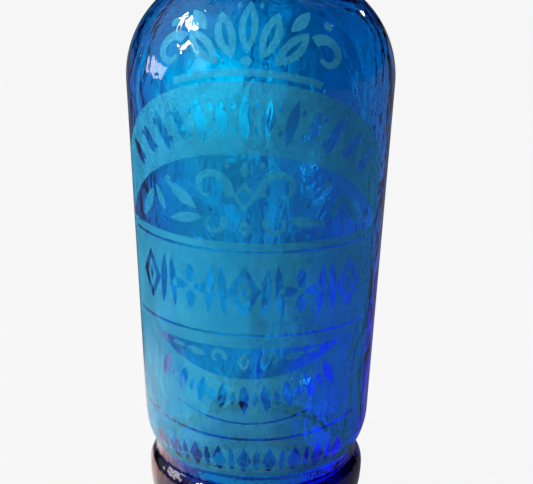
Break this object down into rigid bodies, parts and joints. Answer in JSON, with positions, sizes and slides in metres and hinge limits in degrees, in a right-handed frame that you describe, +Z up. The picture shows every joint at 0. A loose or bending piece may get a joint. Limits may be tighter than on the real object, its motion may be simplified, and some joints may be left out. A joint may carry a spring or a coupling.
{
  "type": "soda siphon bottle",
  "caption": "Heavy blue glass siphon bottle with a domed shoulder and waisted foot, closed by a cast tin head with a thumb lever, spring valve, curved spout and glass dip tube.",
  "frame": {"origin": "on the bottle's axis, in the plane that its foot stands on", "axes": "+Z up the bottle's axis to the head, +X the way the spout points, -X the lever's tail, -Y the etched front"},
  "size_m": [0.124, 0.105, 0.3158],
  "materials": {
    "blue_glass": "polished blown glass, cobalt to turquoise, with acid-etched frosting on the front",
    "clear_glass": "polished drawn glass tube",
    "cast_tin": "cast tin, dulled and worn brighter on its edges",
    "brass": "turned brass, aged",
    "spring_bronze": "drawn bronze wire",
    "rubber": "moulded black rubber",
    "leather": "greased leather packing"
  },
  "bodies": {
    "siphon": {"glass_bottle": "blue_glass", "dip_tube": "clear_glass", "tube_bushing": "rubber", "neck_gasket": "rubber", "collar_liner": "leather", "tube_holder": "brass", "collar_half_front": "cast_tin", "collar_half_back": "cast_tin", "head_body": "cast_tin", "spout": "cast_tin", "spout_nozzle": "brass", "valve_spring": "spring_bronze", "thrust_washer": "brass", "packing_ring": "leather", "gland_nut": "brass", "lever_pin": "brass"},
    "lever": {"lever": "cast_tin"},
    "valve": {"valve_spindle": "brass", "valve_washer": "rubber", "washer_nut": "brass", "spindle_button": "brass"}
  },
  "joints": [
    {"name": "lever_press", "type": "hinge", "parent": "siphon", "child": "lever", "pos_m": [0.014, 0, 0.30926], "axis": [0, -1, 0], "range_deg": [0, 11.5], "stiffness_Nm_per_rad": 0.235, "springref_deg": -22.92},
    {"name": "valve_open", "type": "slide", "parent": "siphon", "child": "valve", "axis": [0, 0, -1], "range_m": [0, 0.00281], "deforming": ["valve_spring"]}
  ],
  "couplings": [
    {"joint": "valve_open", "follows": "lever_press", "m_per_rad": 0.014}
  ]
}
